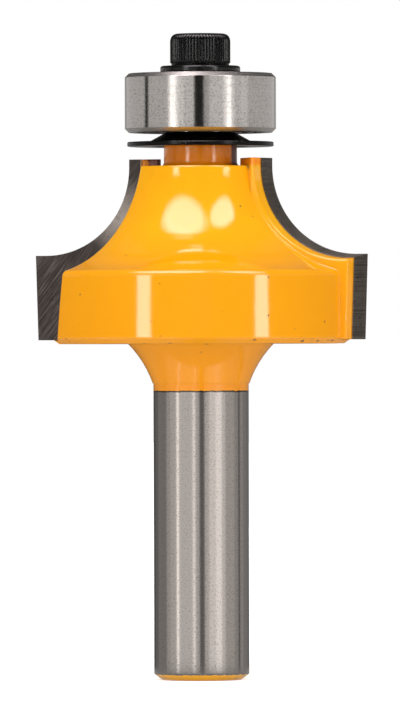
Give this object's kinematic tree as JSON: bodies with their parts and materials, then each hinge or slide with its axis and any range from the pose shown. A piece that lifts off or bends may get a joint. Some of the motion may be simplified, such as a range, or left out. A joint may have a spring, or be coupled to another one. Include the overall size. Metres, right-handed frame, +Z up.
{
  "type": "router bit",
  "caption": "Round-over router bit with carbide-tipped wings and a ball-bearing guide on its nose, standing on its cylindrical shank.",
  "frame": {"origin": "centre of the shank's end face, on the spin axis", "axes": "+Z up the spin axis, from the shank to the guide bearing; +X outwards along the first cutting wing, whose rake face looks to +Y"},
  "size_m": [0.0444, 0.0402, 0.0813],
  "materials": {
    "painted_steel": "gloss yellow-orange paint, with the shank left as ground steel",
    "carbide": "diamond-ground tungsten carbide",
    "bearing_steel": "fine ground",
    "ball_steel": "polished",
    "cage_steel": "pressed sheet",
    "black_oxide": "black oxide"
  },
  "bodies": {
    "root": {"bit_body": "painted_steel", "carbide_tip_1": "carbide", "carbide_tip_2": "carbide", "dust_shield": "black_oxide", "bearing_inner_ring": "bearing_steel", "flat_washer": "black_oxide", "cap_screw": "black_oxide"},
    "guide_ring": {"bearing_outer_ring": "bearing_steel", "bearing_shield_lower": "bearing_steel", "bearing_shield_upper": "bearing_steel", "snap_ring_lower": "bearing_steel", "snap_ring_upper": "bearing_steel"},
    "cage": {"cage_lower_half": "cage_steel", "cage_upper_half": "cage_steel", "cage_rivets": "cage_steel"},
    "ball_1": {"ball_1": "ball_steel"},
    "ball_2": {"ball_2": "ball_steel"},
    "ball_3": {"ball_3": "ball_steel"},
    "ball_4": {"ball_4": "ball_steel"},
    "ball_5": {"ball_5": "ball_steel"},
    "ball_6": {"ball_6": "ball_steel"},
    "ball_7": {"ball_7": "ball_steel"}
  },
  "joints": [
    {"name": "guide_spin", "type": "hinge", "parent": "root", "child": "guide_ring", "pos_m": [0, 0, 0.07261], "axis": [0, 0, 1], "continuous": true},
    {"name": "cage_orbit", "type": "hinge", "parent": "root", "child": "cage", "pos_m": [0, 0, 0.07261], "axis": [0, 0, 1], "continuous": true},
    {"name": "ball_1_spin", "type": "hinge", "parent": "cage", "child": "ball_1", "pos_m": [0.00635, 0, 0.07261], "axis": [0, 0, 1], "continuous": true},
    {"name": "ball_2_spin", "type": "hinge", "parent": "cage", "child": "ball_2", "pos_m": [0.00396, 0.00496, 0.07261], "axis": [0, 0, 1], "continuous": true},
    {"name": "ball_3_spin", "type": "hinge", "parent": "cage", "child": "ball_3", "pos_m": [-0.00141, 0.00619, 0.07261], "axis": [0, 0, 1], "continuous": true},
    {"name": "ball_4_spin", "type": "hinge", "parent": "cage", "child": "ball_4", "pos_m": [-0.00572, 0.00276, 0.07261], "axis": [0, 0, 1], "continuous": true},
    {"name": "ball_5_spin", "type": "hinge", "parent": "cage", "child": "ball_5", "pos_m": [-0.00572, -0.00276, 0.07261], "axis": [0, 0, 1], "continuous": true},
    {"name": "ball_6_spin", "type": "hinge", "parent": "cage", "child": "ball_6", "pos_m": [-0.00141, -0.00619, 0.07261], "axis": [0, 0, 1], "continuous": true},
    {"name": "ball_7_spin", "type": "hinge", "parent": "cage", "child": "ball_7", "pos_m": [0.00396, -0.00496, 0.07261], "axis": [0, 0, 1], "continuous": true}
  ],
  "couplings": [
    {"joint": "cage_orbit", "follows": "guide_spin", "ratio": 0.64055},
    {"joint": "ball_1_spin", "follows": "guide_spin", "ratio": 1.6382},
    {"joint": "ball_2_spin", "follows": "guide_spin", "ratio": 1.6382},
    {"joint": "ball_3_spin", "follows": "guide_spin", "ratio": 1.6382},
    {"joint": "ball_4_spin", "follows": "guide_spin", "ratio": 1.6382},
    {"joint": "ball_5_spin", "follows": "guide_spin", "ratio": 1.6382},
    {"joint": "ball_6_spin", "follows": "guide_spin", "ratio": 1.6382},
    {"joint": "ball_7_spin", "follows": "guide_spin", "ratio": 1.6382}
  ]
}
